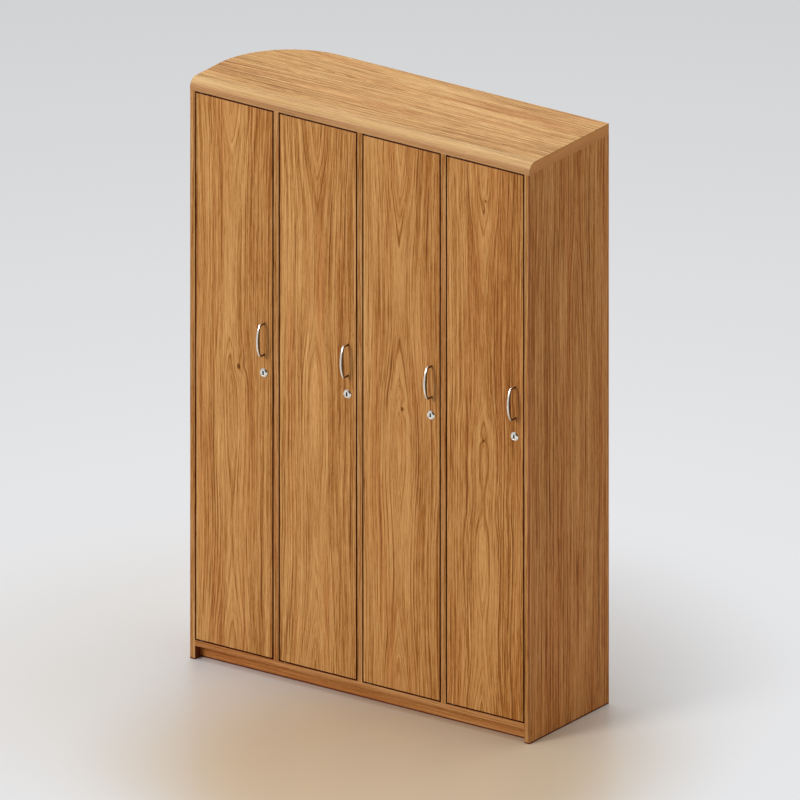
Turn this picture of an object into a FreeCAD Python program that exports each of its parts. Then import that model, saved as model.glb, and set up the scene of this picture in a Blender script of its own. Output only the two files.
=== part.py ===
import FreeCAD, Part
import math
import os
from types import SimpleNamespace

import Sketcher
from FreeCAD import Placement, Rotation, Vector

# Driving sizes in millimetres, one cell each
SIZES = {
    # carcass
    "width": 1200,
    "depth": 400,
    "height": 1800,
    "board": 18,
    "top_thickness": 36,
    "nose_radius": 28,
    "corner_landing": 45.5,
    "back_thickness": 6,
    "back_lap": 10,
    "plinth_height": 42,
    "plinth_setback": 30,
    "edge_ease": 1,
    # doors
    "door_gap": 4,
    "door_thickness": 18,
    # hat shelves and their pins
    "hat_space": 304,
    "shelf_setback": 25,
    "shelf_pin": 5,
    "shelf_pin_reach": 8,
    "shelf_pin_web": 1,
    "shelf_pin_front": 30,
    "shelf_pin_rear": 60,
    # coat hooks
    "hook_base": 34,
    "hook_base_thickness": 3,
    "hook_stem": 9,
    "hook_radius": 26,
    "hook_drop": 48,
    "hook_wire": 7,
    "hook_screw_spacing": 22,
    # bow handles
    "handle_height": 1050,
    "handle_inset": 29,
    "handle_span": 96,
    "handle_projection": 38,
    "handle_width": 7,
    "handle_foot": 8,
    "handle_grip": 12,
    "handle_bow_radius": 100,
    "handle_hollow_radius": 200,
    "handle_bend_radius": 10,
    "handle_crook_radius": 5,
    "handle_edge_radius": 2.2,
    "handle_screw": 4,
    "handle_screw_grip": 9,
    "handle_screw_head": 8,
    "handle_screw_cap": 2.5,
    # pivot hinges
    "pivot_inset": 18,
    "pivot_pin": 6,
    "pivot_reach": 10,
    "pivot_plate_length": 56,
    "pivot_plate_width": 12,
    "pivot_plate_thickness": 2.5,
    "pivot_plate_tail": 10,
    "pivot_screw_offset": 16,
    "pivot_screw_spacing": 20,
    "bush_diameter": 11,
    "bush_length": 12,
    "bush_flange": 17,
    # cam locks
    "lock_height": 944,
    "lock_inset": 30,
    "lock_face": 28,
    "lock_crown": 21,
    "lock_proud": 5,
    "lock_rim": 2,
    "lock_barrel": 20,
    "barrel_length": 25,
    "plug_diameter": 15,
    "plug_stem": 12,
    "plug_shoulder": 12,
    "plug_recess": 0.6,
    "key_width": 3,
    "key_height": 11,
    "key_depth": 12,
    "cam_thickness": 2.5,
    "cam_width": 14,
    "cam_reach": 29,
    "cam_square": 8,
    "cam_screw": 4,
    "cam_screw_length": 8,
    "cam_screw_head": 11,
    "cam_screw_cap": 2.5,
    "nut_width": 26,
    "nut_height": 5,
    # strike plates
    "strike_thickness": 2,
    "strike_depth": 30,
    "strike_reach": 13,
    "strike_height": 40,
    "strike_screw_back": 20,
    "strike_screw_spacing": 22,
    # magnetic catches
    "catch_inset": 60,
    "catch_length": 46,
    "catch_depth": 14,
    "catch_height": 13,
    "catch_screw_spacing": 32,
    "catch_plate_length": 30,
    "catch_plate_height": 26,
    "catch_plate_thickness": 1.5,
    "catch_plate_screw": 20,
    # wood screws and dowels
    "screw_head": 6.5,
    "screw_cap": 1.8,
    "screw_shank": 3,
    "screw_length": 14,
    "back_screw_inset": 120,
    "dowel": 8,
    "dowel_length": 30,
    "dowel_seat": 12,
    "dowel_inset": 45,
    # clearances, and how far a cutter runs past the face it starts from
    "running_clearance": 0.05,
    "fit_clearance": 0.1,
    "shelf_clearance": 0.5,
    "thrust_clearance": 0.3,
    "cam_clearance": 0.4,
    "strike_clearance": 1,
    "catch_clearance": 0.4,
    "overrun": 2,
}

DOOR_COUNT = 4
DOORS = tuple(range(1, DOOR_COUNT + 1))
SIDES = (-1, 1)
BACK_SCREW_SHARES = (0, 1 / 3, 2 / 3, 1)
FLAT_DOWEL_SHARES = (0.3, 0.7)
FLAT_PIN_SHARES = (0.28, 0.75)
EDGE_SHARES = {"left": (0, 1 / 2), "right": (1, 1 / 2), "bottom": (1 / 2, 0), "top": (1 / 2, 1)}

doc = FreeCAD.newDocument("locker")
sheet = doc.addObject("Spreadsheet::Sheet", "sizes")
for row, (alias, length) in enumerate(SIZES.items(), start=1):
    sheet.set(f"A{row}", alias)
    sheet.set(f"B{row}", str(length))
    sheet.setAlias(f"B{row}", alias)
doc.recompute()


# Formulas over the cells
class Size:
    """A formula over the cells of the sheet, with the number it stands for now."""

    def __init__(self, text, value):
        self.text = text
        self.value = value

    def join(self, sign, other, value):
        return Size(f"({self.text} {sign} {words(other)})", value)

    def __add__(self, other):
        return self.join("+", other, self.value + number(other))

    def __sub__(self, other):
        return self.join("-", other, self.value - number(other))

    def __mul__(self, other):
        return self.join("*", other, self.value * number(other))

    def __truediv__(self, other):
        return self.join("/", other, self.value / number(other))

    def __neg__(self):
        return Size(f"(0 - {self.text})", -self.value)


def words(item):
    return item.text if isinstance(item, Size) else str(item)


def number(item):
    return item.value if isinstance(item, Size) else item


S = SimpleNamespace(**{alias: Size(f"sizes.{alias}", length) for alias, length in SIZES.items()})
NONE = Size("0", 0)

# Planes and spacings that several pieces share
LEFT = -S.width / 2
RIGHT = S.width / 2
FRONT = (S.handle_projection - S.depth) / 2
REAR = (S.handle_projection + S.depth) / 2
INNER_LEFT = LEFT + S.board
INNER_RIGHT = RIGHT - S.board
BACK_FACE = REAR - S.back_thickness
UNDER_TOP = S.height - S.top_thickness
FLOOR_TOP = S.plinth_height + S.board
SHELF_UNDER = UNDER_TOP - S.hat_space - S.board
HALF_BOARD = S.board / 2
BAY = (S.width - S.board * (DOOR_COUNT + 1)) / DOOR_COUNT
CORNER_RADIUS = S.board + BAY - S.corner_landing
CURVE_X = LEFT + CORNER_RADIUS
CURVE_Y = REAR - CORNER_RADIUS
DOOR_BOTTOM = FLOOR_TOP + S.door_gap
DOOR_TOP = UNDER_TOP - S.door_gap
DOOR_BACK = FRONT + S.door_thickness
PIVOT_Y = FRONT + S.door_thickness / 2
SHELF_FRONT = DOOR_BACK + S.shelf_setback
BARREL_END = FRONT + S.barrel_length
CAM_FRONT = BARREL_END + S.cam_clearance
CAM_REAR = CAM_FRONT + S.cam_thickness
STRIKE_FRONT = CAM_FRONT - S.strike_clearance - S.strike_thickness
CATCH_FRONT = DOOR_BACK + S.catch_plate_thickness + S.catch_clearance
SIDE_BOARDS = ("side_panel_left", "partition_1", "partition_2", "partition_3", "side_panel_right")


def bay_left(door):
    return INNER_LEFT + (BAY + S.board) * (door - 1)


def bay_right(door):
    return bay_left(door) + BAY


def door_left(door):
    return bay_left(door) + S.door_gap


def door_right(door):
    return bay_right(door) - S.door_gap


def pivot_x(door):
    return door_left(door) + S.pivot_inset


def lock_x(door):
    return door_right(door) - S.lock_inset


def handle_x(door):
    return door_right(door) - S.handle_inset


def catch_x(door):
    return bay_right(door) - S.catch_inset


# Solids along the axes
TURNS = {
    "+x": Rotation(Vector(0, 1, 0), 90),
    "-x": Rotation(Vector(0, 1, 0), -90),
    "+y": Rotation(Vector(1, 0, 0), -90),
    "-y": Rotation(Vector(1, 0, 0), 90),
    "+z": Rotation(),
    "-z": Rotation(Vector(1, 0, 0), 180),
}
OPPOSITE = {"+x": "-x", "-x": "+x", "+y": "-y", "-y": "+y", "+z": "-z", "-z": "+z"}


def bind(item, formulas):
    for key, formula in formulas.items():
        item.setExpression(key, words(formula))


def place(item, at, turn=Rotation()):
    item.Placement = Placement(Vector(), turn)
    bind(item, {f"Placement.Base.{axis}": formula for axis, formula in zip("xyz", at)})
    return item


def block(name, low, high):
    item = doc.addObject("Part::Box", name)
    spans = [end - start for start, end in zip(low, high)]
    bind(item, dict(zip(("Length", "Width", "Height"), spans)))
    return place(item, low)


def rod(name, at, way, diameter, length, back=NONE):
    """A cylinder along a signed axis, from a length behind a point to a length past it."""
    item = doc.addObject("Part::Cylinder", name)
    bind(item, {"Radius": diameter / 2, "Height": length + back})
    start = list(at)
    axis = "xyz".index(way[1])
    start[axis] = start[axis] - back if way[0] == "+" else start[axis] + back
    return place(item, start, TURNS[way])


def bore(name, at, way, diameter, depth):
    """A cutter for a hole that fits round a rod of the diameter."""
    return rod(name, at, way, diameter + S.fit_clearance * 2, depth, S.overrun)


def group(name, pieces):
    item = doc.addObject("Part::Compound", name)
    item.Links = pieces
    return item


def fuse(name, pieces):
    item = doc.addObject("Part::MultiFuse", name)
    item.Shapes = pieces
    return item


def cut(name, base, cutters):
    item = doc.addObject("Part::Cut", name)
    item.Base = base
    item.Tool = group(f"{name}_cutters", cutters)
    return item


# Screws, and the holes that pieces get from the fittings they carry
WOOD_SCREW = (S.screw_shank, S.screw_length, S.screw_head, S.screw_cap)
HANDLE_SCREW = (
    S.handle_screw,
    S.door_thickness + S.handle_screw_grip,
    S.handle_screw_head,
    S.handle_screw_cap,
)
CAM_SCREW = (S.cam_screw, S.cam_screw_length, S.cam_screw_head, S.cam_screw_cap)
holes = {}


def drill(board, cutter):
    holes.setdefault(board, []).append(cutter)


def screw(name, seat, way, kind):
    """A screw whose head sits on the seat, with its shank along the way."""
    shank, length, head, cap = kind
    return fuse(
        name,
        [
            rod(f"{name}_shank", seat, way, shank, length),
            rod(f"{name}_head", seat, OPPOSITE[way], head, cap),
        ],
    )


def wood_screw(name, board, seat, way):
    drill(board, bore(f"{name}_pilot", seat, way, S.screw_shank, S.screw_length + S.fit_clearance))
    return screw(name, seat, way, WOOD_SCREW)


def sunk_hole(name, seat, way, depth):
    """Cutters for a shank through a plate and a head sunk flush with its outer face."""
    sink = S.screw_head + S.fit_clearance * 2
    return [
        bore(f"{name}_through", seat, way, S.screw_shank, depth),
        rod(f"{name}_sink", seat, OPPOSITE[way], sink, S.screw_cap + S.overrun),
    ]


# Sketches and the features on them
def sketch(body, name, role):
    item = body.newObject("Sketcher::SketchObject", name)
    plane = next(part for part in body.Origin.OriginFeatures if part.Role == role)
    item.AttachmentSupport = (plane, [""])
    item.MapMode = "FlatFace"
    return item


def measure(item, kind, places, formula):
    index = item.addConstraint(Sketcher.Constraint(kind, *places, number(formula)))
    item.setExpression(f"Constraints[{index}]", words(formula))


def relate(item, kind, *places):
    item.addConstraint(Sketcher.Constraint(kind, *places))


def hold(item, geometry, end, at):
    """Hold a point of a sketch at its signed distances from the two axes."""
    for kind, axis, formula in (("DistanceX", -2, at[0]), ("DistanceY", -1, at[1])):
        if number(formula) > 0:
            measure(item, kind, (-1, 1, geometry, end), formula)
        elif number(formula) < 0:
            measure(item, kind, (geometry, end, -1, 1), -formula)
        else:
            relate(item, "PointOnObject", geometry, end, axis)


def outline(item, points):
    spots = [Vector(number(x), number(y), 0) for x, y in points]
    after = [(index + 1) % len(points) for index in range(len(points))]
    for index in range(len(points)):
        item.addGeometry(Part.LineSegment(spots[index], spots[after[index]]))
    for index in range(len(points)):
        relate(item, "Coincident", index, 2, after[index], 1)
    for index, at in enumerate(points):
        hold(item, index, 1, at)


def pad(body, name, profile, length):
    item = body.newObject("PartDesign::Pad", name)
    item.Profile = profile
    bind(item, {"Length": length})
    doc.recompute()
    return item


def edge_near(base, middle):
    spot = Vector(*(number(part) for part in middle))
    edges = base.Shape.Edges
    nearest = min(range(len(edges)), key=lambda index: edges[index].CenterOfMass.distanceToPoint(spot))
    return f"Edge{nearest + 1}"


def round_edges(body, name, base, middles, radius):
    """Round the edges nearest to some points, and those that run on from them without a corner."""
    item = body.newObject("PartDesign::Fillet", name)
    item.Base = (base, [edge_near(base, middle) for middle in middles])
    bind(item, {"Radius": radius})
    doc.recompute()
    return item


# Dowels across the joints of the carcass
dowels = []


def dowel(face_board, edge_board, at, way):
    """A dowel that seats in the face of one board and runs along the way into the edge of another."""
    name = f"dowel_{len(dowels) + 1}"
    rest = S.dowel_length - S.dowel_seat
    dowels.append(rod(name, at, way, S.dowel, rest, S.dowel_seat))
    seat = S.dowel_seat + S.fit_clearance
    drill(face_board, bore(f"{name}_face_bore", at, OPPOSITE[way], S.dowel, seat))
    drill(edge_board, bore(f"{name}_edge_bore", at, way, S.dowel, rest + S.fit_clearance))


FIRST_DOWEL = FRONT + S.dowel_inset
LAST_DOWEL = BACK_FACE - S.dowel_inset
CURVE_DOWEL = (CORNER_RADIUS - HALF_BOARD) * math.sqrt(1 / 2)
BOTTOM_MIDDLE = S.plinth_height + HALF_BOARD
PLINTH_MIDDLE = S.plinth_height / 2
PLINTH_Y = FRONT + S.plinth_setback + HALF_BOARD
PLINTH_REAR_Y = BACK_FACE - HALF_BOARD

for door in DOORS[:-1]:
    for y in (FIRST_DOWEL, LAST_DOWEL):
        middle = bay_right(door) + HALF_BOARD
        dowel("top_panel", SIDE_BOARDS[door], (middle, y, UNDER_TOP), "-z")
        dowel("bottom_panel", SIDE_BOARDS[door], (middle, y, FLOOR_TOP), "+z")
for y in (FIRST_DOWEL, LAST_DOWEL):
    dowel("top_panel", "side_panel_right", (RIGHT - HALF_BOARD, y, UNDER_TOP), "-z")
    dowel("side_panel_right", "bottom_panel", (INNER_RIGHT, y, BOTTOM_MIDDLE), "-x")
for share in FLAT_DOWEL_SHARES:
    y = FRONT + (CURVE_Y - FRONT) * share
    dowel("top_panel", "side_panel_left", (LEFT + HALF_BOARD, y, UNDER_TOP), "-z")
    dowel("side_panel_left", "bottom_panel", (INNER_LEFT, y, BOTTOM_MIDDLE), "+x")
dowel("top_panel", "corner_panel", (CURVE_X - CURVE_DOWEL, CURVE_Y + CURVE_DOWEL, UNDER_TOP), "-z")
dowel("side_panel_left", "plinth_front", (INNER_LEFT, PLINTH_Y, PLINTH_MIDDLE), "+x")
dowel("side_panel_right", "plinth_front", (INNER_RIGHT, PLINTH_Y, PLINTH_MIDDLE), "-x")
dowel("side_panel_right", "plinth_rear", (INNER_RIGHT, PLINTH_REAR_Y, PLINTH_MIDDLE), "-x")

# Pins under the shelves, those on the left side kept on its flat
PIN_SEAT = HALF_BOARD - S.shelf_pin_web
PIN_Z = SHELF_UNDER - S.shelf_pin / 2
PIN_FRONT = SHELF_FRONT + S.shelf_pin_front
PIN_REAR = BACK_FACE - S.shelf_pin_rear
FLAT_PINS = [SHELF_FRONT + (CURVE_Y - SHELF_FRONT) * share for share in FLAT_PIN_SHARES]
shelf_pins = []


def shelf_pin(board, at, way):
    name = f"shelf_pin_{len(shelf_pins) + 1}"
    shelf_pins.append(rod(name, at, way, S.shelf_pin, S.shelf_pin_reach, PIN_SEAT))
    drill(board, bore(f"{name}_bore", at, OPPOSITE[way], S.shelf_pin, PIN_SEAT + S.fit_clearance))


for door in DOORS:
    for y in FLAT_PINS if door == DOORS[0] else (PIN_FRONT, PIN_REAR):
        shelf_pin(SIDE_BOARDS[door - 1], (bay_left(door), y, PIN_Z), "+x")
    for y in (PIN_FRONT, PIN_REAR):
        shelf_pin(SIDE_BOARDS[door], (bay_right(door), y, PIN_Z), "-x")

# Bushes let into the top and the bottom, in which the door pivots turn
FLANGE = S.door_gap - S.thrust_clearance
EYE = S.pivot_pin + S.running_clearance * 2


def pivot_bush(door, board, z, way):
    name = f"bush_{door}_{board}"
    at = (pivot_x(door), PIVOT_Y, z)
    sleeve = rod(f"{name}_sleeve", at, way, S.bush_diameter, S.bush_length)
    flange = rod(f"{name}_flange", at, OPPOSITE[way], S.bush_flange, FLANGE)
    eye = rod(f"{name}_eye", at, way, EYE, S.pivot_reach + S.thrust_clearance, S.door_gap)
    drill(board, bore(f"{name}_bore", at, way, S.bush_diameter, S.bush_length + S.fit_clearance))
    return cut(name, fuse(f"{name}_solid", [sleeve, flange]), [eye])


bushes = []
for door in DOORS:
    bushes.append(pivot_bush(door, "top_panel", UNDER_TOP, "+z"))
    bushes.append(pivot_bush(door, "bottom_panel", FLOOR_TOP, "-z"))

# Strike plates, bent from strip, behind which the lock cams turn
carcass_screws = []


def strike_plate(door):
    name = f"strike_{door}"
    body = doc.addObject("PartDesign::Body", f"{name}_strip")
    profile = sketch(body, f"{name}_profile", "XY_Plane")
    wall = -S.strike_thickness
    outline(
        profile,
        [
            (NONE, NONE),
            (NONE, S.strike_depth),
            (wall, S.strike_depth),
            (wall, S.strike_thickness),
            (-S.strike_reach, S.strike_thickness),
            (-S.strike_reach, NONE),
        ],
    )
    pad(body, f"{name}_pad", profile, S.strike_height)
    place(body, (bay_right(door), STRIKE_FRONT, S.lock_height - S.strike_height / 2))
    cutters = []
    for side in SIDES:
        tag = f"{name}_screw_{side + 1}"
        z = S.lock_height + S.strike_screw_spacing / 2 * side
        seat = (bay_right(door) - S.strike_thickness, STRIKE_FRONT + S.strike_screw_back, z)
        carcass_screws.append(wood_screw(tag, SIDE_BOARDS[door], seat, "+x"))
        cutters.append(bore(f"{tag}_hole", seat, "+x", S.screw_shank, S.strike_thickness + S.overrun))
    return cut(name, body, cutters)


strikes = [strike_plate(door) for door in DOORS]


# Magnetic catches under the top, just behind the doors
def magnetic_catch(door):
    name = f"catch_{door}"
    lower = UNDER_TOP - S.catch_height
    half = S.catch_length / 2
    case = block(
        f"{name}_case",
        (catch_x(door) - half, CATCH_FRONT, lower),
        (catch_x(door) + half, CATCH_FRONT + S.catch_depth, UNDER_TOP),
    )
    cutters = []
    for side in SIDES:
        tag = f"{name}_screw_{side + 1}"
        x = catch_x(door) + S.catch_screw_spacing / 2 * side
        seat = (x, CATCH_FRONT + S.catch_depth / 2, lower + S.screw_cap)
        carcass_screws.append(wood_screw(tag, "top_panel", seat, "+z"))
        cutters += sunk_hole(tag, seat, "+z", S.catch_height)
    return cut(name, case, cutters)


catches = [magnetic_catch(door) for door in DOORS]


# Double coat hooks under the hat shelves
def coat_hook(door):
    name = f"hook_{door}"
    x = bay_left(door) + BAY / 2
    y = (SHELF_FRONT + BACK_FACE) / 2
    curl_z = SHELF_UNDER - S.hook_drop + S.hook_radius
    base = rod(f"{name}_base", (x, y, SHELF_UNDER), "-z", S.hook_base, S.hook_base_thickness)
    stem = rod(f"{name}_stem", (x, y, SHELF_UNDER), "-z", S.hook_stem, S.hook_drop)
    curl = doc.addObject("Part::Torus", f"{name}_curl")
    curl.Angle3 = 180
    bind(curl, {"Radius1": S.hook_radius, "Radius2": S.hook_wire / 2})
    place(curl, (x, y, curl_z), TURNS["+y"])
    pieces = [base, stem, curl]
    cutters = []
    for side in SIDES:
        tip = doc.addObject("Part::Sphere", f"{name}_tip_{side + 1}")
        bind(tip, {"Radius": S.hook_wire / 2})
        pieces.append(place(tip, (x + S.hook_radius * side, y, curl_z)))
        tag = f"{name}_screw_{side + 1}"
        seat = (x, y + S.hook_screw_spacing / 2 * side, SHELF_UNDER - S.hook_base_thickness)
        carcass_screws.append(wood_screw(tag, f"shelf_{door}", seat, "+z"))
        cutters.append(bore(f"{tag}_hole", seat, "+z", S.screw_shank, S.hook_base_thickness + S.overrun))
    return cut(name, fuse(f"{name}_solid", pieces), cutters)


hooks = [coat_hook(door) for door in DOORS]

# Screws through the back panel into the boards it covers
BACK_RUN = UNDER_TOP - FLOOR_TOP - S.back_screw_inset * 2
back_columns = [(SIDE_BOARDS[door], bay_right(door) + HALF_BOARD) for door in DOORS[:-1]]
back_columns.append(("side_panel_right", INNER_RIGHT + S.back_lap / 2))
back_columns.append(("corner_panel", CURVE_X - S.back_lap / 2))
back_screws = []
for board, x in back_columns:
    for share in BACK_SCREW_SHARES:
        name = f"back_screw_{len(back_screws) + 1}"
        seat = (x, REAR - S.screw_cap, FLOOR_TOP + S.back_screw_inset + BACK_RUN * share)
        back_screws.append(wood_screw(name, board, seat, "-y"))
        for cutter in sunk_hole(name, seat, "-y", S.back_thickness):
            drill("back_panel", cutter)


# Boards of the carcass
def slab(name, low, high, eased):
    """A board whose named front edges are eased."""
    body = doc.addObject("PartDesign::Body", f"{name}_slab")
    blank = body.newObject("PartDesign::AdditiveBox", f"{name}_blank")
    spans = [end - start for start, end in zip(low, high)]
    bind(blank, dict(zip(("Length", "Width", "Height"), spans)))
    doc.recompute()
    shares = [EDGE_SHARES[edge] for edge in eased]
    middles = [(spans[0] * across, NONE, spans[2] * up) for across, up in shares]
    round_edges(body, f"{name}_ease", blank, middles, S.edge_ease)
    return place(body, low)


def board(name, low, high, extra=(), eased=()):
    blank = slab(name, low, high, eased) if eased else block(f"{name}_blank", low, high)
    return cut(name, blank, holes[name] + list(extra))


def corner_room(name, low, high, gap):
    """A cutter that leaves a board the room inside the curved corner, less a gap."""
    square = block(
        f"{name}_square",
        (LEFT, CURVE_Y, low - S.overrun),
        (CURVE_X + gap, REAR + S.overrun, high + S.overrun),
    )
    inside = (CORNER_RADIUS - S.board - gap) * 2
    past = S.overrun * 2
    drum = rod(f"{name}_drum", (CURVE_X, CURVE_Y, low), "+z", inside, high - low + past, past)
    return cut(name, square, [drum])


def top_panel():
    body = doc.addObject("PartDesign::Body", "top_slab")
    profile = sketch(body, "top_outline", "XY_Plane")
    outline(profile, [(LEFT, FRONT), (RIGHT, FRONT), (RIGHT, REAR), (LEFT, REAR)])
    plate = pad(body, "top_pad", profile, S.top_thickness)
    corner = round_edges(body, "top_corner", plate, [(LEFT, REAR, S.top_thickness / 2)], CORNER_RADIUS)
    nose = round_edges(body, "top_nose", corner, [(NONE, FRONT, S.top_thickness)], S.nose_radius)
    ends = [(RIGHT, NONE, S.top_thickness), (CURVE_X / 2, REAR, S.top_thickness)]
    round_edges(body, "top_ease", nose, ends, S.edge_ease)
    place(body, (NONE, NONE, UNDER_TOP))
    return cut("top_panel", body, holes["top_panel"])


def corner_panel():
    centre = (CURVE_X, CURVE_Y, NONE)
    wedge = rod("corner_wedge", centre, "+z", CORNER_RADIUS * 2, UNDER_TOP)
    wedge.Angle = 90
    place(wedge, centre, Rotation(Vector(0, 0, 1), 90))
    inside = (CORNER_RADIUS - S.board) * 2
    drum = rod("corner_drum", centre, "+z", inside, UNDER_TOP + S.overrun, S.overrun)
    rebate = block(
        "corner_rebate",
        (CURVE_X - S.back_lap, BACK_FACE, -S.overrun),
        (CURVE_X + S.overrun, REAR + S.overrun, UNDER_TOP + S.overrun),
    )
    return cut("corner_panel", wedge, holes["corner_panel"] + [drum, rebate])


side_rebate = block(
    "side_rebate",
    (INNER_RIGHT - S.overrun, BACK_FACE, -S.overrun),
    (INNER_RIGHT + S.back_lap, REAR + S.overrun, UNDER_TOP + S.overrun),
)
bottom_room = corner_room("bottom_room", S.plinth_height, FLOOR_TOP, S.fit_clearance)
UPRIGHT = ("left", "right")
LEVEL = ("bottom", "top")
nodes = [
    board("side_panel_left", (LEFT, FRONT, NONE), (INNER_LEFT, CURVE_Y, UNDER_TOP), eased=UPRIGHT),
    corner_panel(),
    board("side_panel_right", (INNER_RIGHT, FRONT, NONE), (RIGHT, REAR, UNDER_TOP), [side_rebate], UPRIGHT),
    top_panel(),
    board(
        "bottom_panel",
        (INNER_LEFT, FRONT, S.plinth_height),
        (INNER_RIGHT, BACK_FACE, FLOOR_TOP),
        [bottom_room],
        LEVEL,
    ),
    board(
        "back_panel",
        (CURVE_X - S.back_lap, BACK_FACE, NONE),
        (INNER_RIGHT + S.back_lap, REAR, UNDER_TOP),
    ),
    board(
        "plinth_front",
        (INNER_LEFT, FRONT + S.plinth_setback, NONE),
        (INNER_RIGHT, FRONT + S.plinth_setback + S.board, S.plinth_height),
    ),
    board("plinth_rear", (CURVE_X, BACK_FACE - S.board, NONE), (INNER_RIGHT, BACK_FACE, S.plinth_height)),
]
for door in DOORS[:-1]:
    low = (bay_right(door), FRONT, FLOOR_TOP)
    high = (bay_left(door + 1), BACK_FACE, UNDER_TOP)
    nodes.append(board(SIDE_BOARDS[door], low, high, eased=UPRIGHT))
for door in DOORS:
    gap = S.shelf_clearance
    low = (bay_left(door) + gap, SHELF_FRONT, SHELF_UNDER)
    high = (bay_right(door) - gap, BACK_FACE - gap, SHELF_UNDER + S.board)
    room = [corner_room("shelf_room", low[2], high[2], gap)] if door == DOORS[0] else []
    nodes.append(board(f"shelf_{door}", low, high, room, LEVEL))
nodes += [
    group("carcass_dowels", dowels),
    group("shelf_pins", shelf_pins),
    group("pivot_bushes", bushes),
    group("strike_plates", strikes),
    group("magnetic_catches", catches),
    group("coat_hooks", hooks),
    group("carcass_screws", carcass_screws),
    group("back_screws", back_screws),
]


# Pivots let into the top and bottom edges of a door, each a plate with its pin
def pivot(door, end, edge, way):
    name = f"pivot_{door}_{end}"
    x = pivot_x(door)
    half = S.pivot_plate_width / 2
    inner = edge - S.pivot_plate_thickness if way == "+z" else edge + S.pivot_plate_thickness
    outer = edge + S.overrun if way == "+z" else edge - S.overrun
    near = (x - S.pivot_plate_tail, PIVOT_Y - half)
    far = (near[0] + S.pivot_plate_length, PIVOT_Y + half)

    def leaf(tag, face):
        low, high = (inner, face) if way == "+z" else (face, inner)
        return block(f"{name}_{tag}", (*near, low), (*far, high))

    drill(f"door_{door}", leaf("pocket", outer))
    reach = S.door_gap + S.pivot_reach
    pin = rod(f"{name}_pin", (x, PIVOT_Y, edge), way, S.pivot_pin, reach, S.pivot_plate_thickness)
    solid = fuse(f"{name}_solid", [leaf("plate", edge), pin])
    cutters = []
    screws = []
    seat_z = edge - S.screw_cap if way == "+z" else edge + S.screw_cap
    first = x + S.pivot_screw_offset
    for index, screw_x in enumerate((first, first + S.pivot_screw_spacing), start=1):
        tag = f"{name}_screw_{index}"
        seat = (screw_x, PIVOT_Y, seat_z)
        screws.append(wood_screw(tag, f"door_{door}", seat, OPPOSITE[way]))
        cutters += sunk_hole(tag, seat, OPPOSITE[way], S.pivot_plate_thickness)
    return cut(name, solid, cutters), screws


# Bow handle, a crescent on two feet with rounded edges
def arc(x, y, radius, first, last):
    return Part.ArcOfCircle(Part.Circle(Vector(x, y, 0), Vector(0, 0, 1), radius), first, last)


def bow_side(path, reach, height, bow_radius, bend_radius):
    """Draw one side of the crescent: foot line, bend, bow, bend and foot line, tangent in turn."""
    bow, bend, half = number(bow_radius), number(bend_radius), number(height) / 2
    rise = half - bend
    centre = bow - number(reach)
    elbow = centre - math.sqrt((bow - bend) ** 2 - rise**2)
    lean = math.atan2(rise, centre - elbow)
    upper = path.addGeometry(Part.LineSegment(Vector(0, half, 0), Vector(elbow, half, 0)))
    upper_bend = path.addGeometry(arc(elbow, rise, bend, math.pi / 2, math.pi - lean))
    crescent = path.addGeometry(arc(centre, 0, bow, math.pi - lean, math.pi + lean))
    lower_bend = path.addGeometry(arc(elbow, -rise, bend, math.pi + lean, math.pi * 3 / 2))
    lower = path.addGeometry(Part.LineSegment(Vector(elbow, -half, 0), Vector(0, -half, 0)))
    crest = path.addGeometry(Part.Point(Vector(-number(reach), 0, 0)), True)
    relate(path, "Horizontal", upper)
    relate(path, "Horizontal", lower)
    relate(path, "PointOnObject", upper, 1, -2)
    relate(path, "Symmetric", upper, 1, lower, 2, -1, 1)
    relate(path, "Tangent", upper, 2, upper_bend, 1)
    relate(path, "Tangent", upper_bend, 2, crescent, 1)
    relate(path, "Tangent", crescent, 2, lower_bend, 1)
    relate(path, "Tangent", lower_bend, 2, lower, 1)
    relate(path, "Equal", upper_bend, lower_bend)
    relate(path, "Equal", upper, lower)
    relate(path, "PointOnObject", crest, 1, crescent)
    relate(path, "PointOnObject", crest, 1, -1)
    measure(path, "DistanceY", (lower, 2, upper, 1), height)
    measure(path, "Radius", (upper_bend,), bend_radius)
    measure(path, "Radius", (crescent,), bow_radius)
    measure(path, "DistanceX", (crest, 1, -1, 1), reach)
    return upper, lower


def foot_end(path, start, finish):
    """Close a foot of the crescent on the face of the door."""
    spots = [path.getPoint(*place_of) for place_of in (start, finish)]
    line = path.addGeometry(Part.LineSegment(*spots))
    relate(path, "Coincident", line, 1, *start)
    relate(path, "Coincident", line, 2, *finish)


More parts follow.
